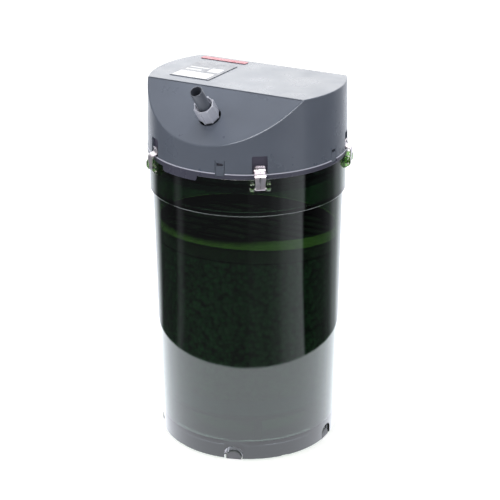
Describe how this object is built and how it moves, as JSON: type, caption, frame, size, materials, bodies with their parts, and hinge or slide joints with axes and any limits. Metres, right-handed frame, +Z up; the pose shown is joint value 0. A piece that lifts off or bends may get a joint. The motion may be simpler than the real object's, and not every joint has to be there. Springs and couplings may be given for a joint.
{
  "type": "canister filter",
  "caption": "External aquarium canister filter: tall see-through green canister of filter media under a clipped-on grey pump head with a sloping hose outlet.",
  "frame": {"origin": "on the canister axis at floor level, half a millimetre under the flat middle of the canister base", "axes": "+Z up along the canister axis, -Y towards the front slope that carries the outlet, +X to the right"},
  "size_m": [0.2858, 0.3367, 0.544],
  "materials": {
    "green_plastic": "gloss, dark green and see-through",
    "grey_plastic": "satin moulded grey",
    "base_plastic": "satin moulded purple-grey",
    "dark_plastic": "satin",
    "nut_plastic": "satin light grey",
    "tail_plastic": "satin mid grey",
    "steel": "stamped stainless",
    "ceramic": "glazed ceramic",
    "grey_rubber": "matt grey rubber",
    "black_rubber": "matt black rubber",
    "potting": "cast resin",
    "magnet": "coated magnet",
    "screen_plastic": "moulded green",
    "coarse_foam": "open foam",
    "floss": "felted floss",
    "substrate": "loose porous granules",
    "label": "blank silver film",
    "stripe": "blank red film"
  },
  "bodies": {
    "filter": {"canister": "green_plastic", "head_housing": "grey_plastic", "head_base": "base_plastic", "head_seal_ring": "black_rubber", "motor_block": "potting", "pump_shaft": "ceramic", "upper_bush": "black_rubber", "lower_bush": "black_rubber", "volute_cover": "dark_plastic", "outlet_duct": "grey_plastic", "outlet_seal": "black_rubber", "inlet_seal": "black_rubber", "cord_gland": "black_rubber", "label_plate": "label", "top_stripe": "stripe", "lower_screen": "screen_plastic", "coarse_foam_pad": "coarse_foam", "media_bed": "substrate", "floss_pad": "floss", "upper_screen": "screen_plastic", "rubber_foot_1": "grey_rubber", "clip_pin_1": "steel", "rubber_foot_2": "grey_rubber", "clip_pin_2": "steel", "rubber_foot_3": "grey_rubber", "clip_pin_3": "steel", "rubber_foot_4": "grey_rubber", "clip_pin_4": "steel", "rubber_foot_5": "grey_rubber", "clip_pin_5": "steel", "cover_screw_1": "steel", "cover_screw_2": "steel", "cover_screw_3": "steel", "cover_screw_4": "steel"},
    "clip_1": {"clip_strap_1": "steel"},
    "clip_2": {"clip_strap_2": "steel"},
    "clip_3": {"clip_strap_3": "steel"},
    "clip_4": {"clip_strap_4": "steel"},
    "clip_5": {"clip_strap_5": "steel"},
    "outlet_nut": {"outlet_union_nut": "nut_plastic"},
    "outlet_tail": {"outlet_hose_tail": "tail_plastic"},
    "inlet_nut": {"inlet_union_nut": "nut_plastic"},
    "inlet_tail": {"inlet_elbow": "tail_plastic"},
    "rotor": {"rotor_magnet": "magnet", "impeller": "dark_plastic"}
  },
  "joints": [
    {"name": "clip_1_swing", "type": "hinge", "parent": "filter", "child": "clip_1", "pos_m": [0.13553, 0.04403, 0.4142], "axis": [-0.309, 0.9511, 0], "range_deg": [0, 120]},
    {"name": "clip_2_swing", "type": "hinge", "parent": "filter", "child": "clip_2", "pos_m": [0, 0.1425, 0.4142], "axis": [-1, 0, 0], "range_deg": [0, 120]},
    {"name": "clip_3_swing", "type": "hinge", "parent": "filter", "child": "clip_3", "pos_m": [-0.13553, 0.04403, 0.4142], "axis": [-0.309, -0.9511, 0], "range_deg": [0, 120]},
    {"name": "clip_4_swing", "type": "hinge", "parent": "filter", "child": "clip_4", "pos_m": [-0.08376, -0.11528, 0.4142], "axis": [0.809, -0.5878, 0], "range_deg": [0, 120]},
    {"name": "clip_5_swing", "type": "hinge", "parent": "filter", "child": "clip_5", "pos_m": [0.08376, -0.11528, 0.4142], "axis": [0.809, 0.5878, 0], "range_deg": [0, 120]},
    {"name": "outlet_nut_turn", "type": "hinge", "parent": "filter", "child": "outlet_nut", "pos_m": [0, -0.101, 0.49652], "axis": [0, -0.6252, 0.7804], "continuous": true},
    {"name": "outlet_tail_swivel", "type": "hinge", "parent": "filter", "child": "outlet_tail", "pos_m": [0, -0.101, 0.49652], "axis": [0, -0.6252, 0.7804], "continuous": true},
    {"name": "inlet_nut_turn", "type": "hinge", "parent": "filter", "child": "inlet_nut", "pos_m": [0, 0.15, 0.046], "axis": [0, 1, 0], "continuous": true},
    {"name": "inlet_elbow_swivel", "type": "hinge", "parent": "filter", "child": "inlet_tail", "pos_m": [0, 0.15, 0.046], "axis": [0, 1, 0], "range_deg": [-90, 90]},
    {"name": "rotor_spin", "type": "hinge", "parent": "filter", "child": "rotor", "pos_m": [0, 0, 0.45], "axis": [0, 0, 1], "continuous": true}
  ]
}
